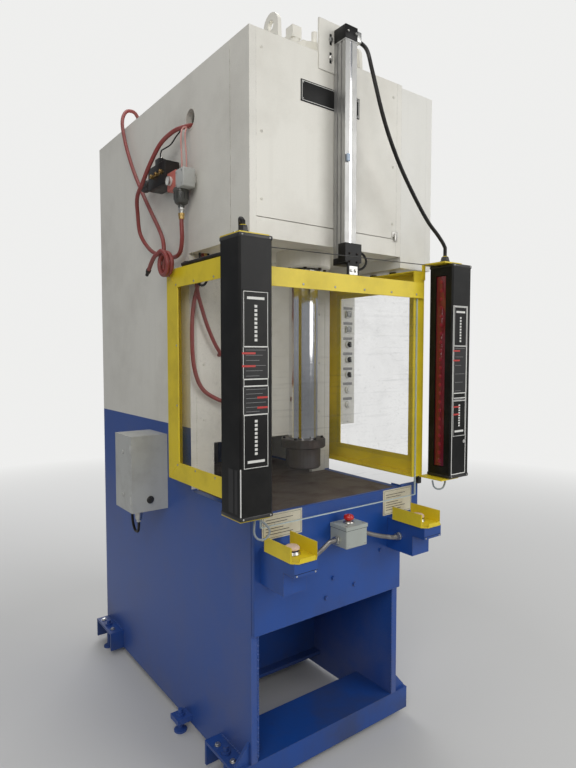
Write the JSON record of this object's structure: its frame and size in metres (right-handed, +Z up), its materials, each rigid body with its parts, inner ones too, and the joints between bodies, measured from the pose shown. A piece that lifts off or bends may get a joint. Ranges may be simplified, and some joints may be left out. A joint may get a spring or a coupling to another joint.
{
  "type": "hydraulic press",
  "caption": "C-frame hydraulic press with a lifting clear guard door, side guards, light curtains, palm buttons and a control cabinet.",
  "frame": {"origin": "on the floor, under the middle of the machine's box", "axes": "+Z up, -Y towards the operator, +X to the operator's right"},
  "size_m": [1.126, 1.724, 2.87],
  "materials": {
    "machine_white": "satin cream white paint",
    "machine_blue": "satin blue paint",
    "guard_yellow": "satin yellow paint",
    "bare_steel": "machined, lightly oiled",
    "dark_steel": "blackened",
    "chromed_rod": "ground hard chrome",
    "aluminium": "anodised extrusion",
    "clear_sheet": "clear plastic sheet, slightly hazed",
    "black_plastic": "moulded",
    "box_grey": "moulded, light grey",
    "stop_red": "moulded",
    "red_rubber": "braided air hose",
    "black_rubber": "smooth"
  },
  "bodies": {
    "frame": {"side_plate_left": "machine_white", "side_plate_right": "machine_white", "base_front_channel": "machine_blue", "base_rear_channel": "machine_blue", "bed_front_plate": "machine_blue", "bed_cross_plate": "machine_blue", "bolster": "bare_steel", "head_bottom_plate": "machine_white", "head_front_cover": "machine_white", "head_top_plate": "machine_white", "throat_rear_wall": "machine_white", "rear_cover": "machine_white", "cylinder_barrel": "machine_white", "cylinder_gland": "machine_white", "oil_tank": "machine_blue", "pump_motor": "machine_blue", "hydraulic_pump": "dark_steel", "valve_manifold": "dark_steel", "control_cabinet": "machine_white", "guard_cylinder": "aluminium", "side_guard_left": "guard_yellow", "side_guard_right": "guard_yellow", "side_guard_left_panel": "clear_sheet", "side_guard_right_panel": "clear_sheet", "light_curtain_left": "black_plastic", "light_curtain_right": "black_plastic", "button_strip": "machine_white", "palm_guard_left": "guard_yellow", "palm_guard_right": "guard_yellow", "palm_box_left": "machine_blue", "palm_box_right": "machine_blue", "stop_box": "box_grey", "conduit_left": "bare_steel", "conduit_right": "bare_steel", "junction_box": "box_grey", "air_valve_block": "box_grey", "red_hose_loop": "red_rubber", "red_hose_supply": "red_rubber", "red_hose_coil": "red_rubber", "red_hose_throat": "red_rubber", "black_hose": "black_rubber"},
    "ram": {"ram_rod": "chromed_rod", "tool_adapter": "dark_steel"},
    "guard_door": {"guard_carriage": "black_plastic", "guard_door_bar": "guard_yellow", "guard_door_panel": "clear_sheet"},
    "palm_left": {"palm_button_left": "box_grey"},
    "palm_right": {"palm_button_right": "box_grey"},
    "stop": {"stop_button": "stop_red"},
    "push_1": {"push_button_1": "box_grey"},
    "push_2": {"push_button_2": "box_grey"},
    "switch_1": {"selector_1": "black_plastic"},
    "switch_2": {"selector_2": "black_plastic"},
    "switch_3": {"selector_3": "black_plastic"},
    "junction_door": {"junction_box_door": "box_grey"},
    "junction_lock": {"junction_box_lock": "black_plastic"},
    "cabinet_leaf": {"cabinet_door": "machine_white"},
    "cabinet_catch": {"cabinet_latch": "dark_steel"},
    "regulator": {"regulator_knob": "black_plastic"},
    "coupling": {"pump_coupling": "bare_steel"}
  },
  "joints": [
    {"name": "ram_slide", "type": "slide", "parent": "frame", "child": "ram", "axis": [0, 0, 1], "range_m": [-0.08, 0.53]},
    {"name": "guard_door_slide", "type": "slide", "parent": "frame", "child": "guard_door", "axis": [0, 0, 1], "range_m": [0, 0.66]},
    {"name": "palm_button_left_press", "type": "slide", "parent": "frame", "child": "palm_left", "axis": [0, 0, -1], "range_m": [0, 0.004], "stiffness_N_per_m": 1500, "springref_m": -0.004},
    {"name": "palm_button_right_press", "type": "slide", "parent": "frame", "child": "palm_right", "axis": [0, 0, -1], "range_m": [0, 0.004], "stiffness_N_per_m": 1500, "springref_m": -0.004},
    {"name": "stop_button_press", "type": "slide", "parent": "frame", "child": "stop", "axis": [0, 0, -1], "range_m": [0, 0.005]},
    {"name": "push_button_1_press", "type": "slide", "parent": "frame", "child": "push_1", "axis": [0, 1, 0], "range_m": [0, 0.003], "stiffness_N_per_m": 500, "springref_m": -0.003},
    {"name": "push_button_2_press", "type": "slide", "parent": "frame", "child": "push_2", "axis": [0, 1, 0], "range_m": [0, 0.003], "stiffness_N_per_m": 500, "springref_m": -0.003},
    {"name": "selector_1_turn", "type": "hinge", "parent": "frame", "child": "switch_1", "pos_m": [0.46415, -0.198, 1.64], "axis": [0, 1, 0], "range_deg": [-45, 45]},
    {"name": "selector_2_turn", "type": "hinge", "parent": "frame", "child": "switch_2", "pos_m": [0.46415, -0.198, 1.5655], "axis": [0, 1, 0], "range_deg": [-45, 45]},
    {"name": "selector_3_turn", "type": "hinge", "parent": "frame", "child": "switch_3", "pos_m": [0.46415, -0.198, 1.491], "axis": [0, 1, 0], "range_deg": [-45, 45]},
    {"name": "junction_door_hinge", "type": "hinge", "parent": "frame", "child": "junction_door", "pos_m": [-0.562, 0.0507, 1.074], "axis": [0, 0, -1], "range_deg": [0, 110]},
    {"name": "junction_lock_turn", "type": "hinge", "parent": "junction_door", "child": "junction_lock", "pos_m": [-0.47915, 0.0387, 0.958], "axis": [0, 1, 0], "range_deg": [0, 90]},
    {"name": "cabinet_door_hinge", "type": "hinge", "parent": "frame", "child": "cabinet_leaf", "pos_m": [0.5093, -0.038, 2.3225], "axis": [0, 0, 1], "range_deg": [0, 110]},
    {"name": "cabinet_latch_turn", "type": "hinge", "parent": "cabinet_leaf", "child": "cabinet_catch", "pos_m": [0.5443, -0.5927, 2.3225], "axis": [1, 0, 0], "range_deg": [0, 90]},
    {"name": "regulator_turn", "type": "hinge", "parent": "frame", "child": "regulator", "pos_m": [-0.4383, 0.0883, 2.33], "axis": [0, 1, 0], "range_deg": [-360, 360]},
    {"name": "coupling_spin", "type": "hinge", "parent": "frame", "child": "coupling", "pos_m": [-0.021, 0.5692, 0.6406], "axis": [0, 0, 1], "continuous": true}
  ]
}
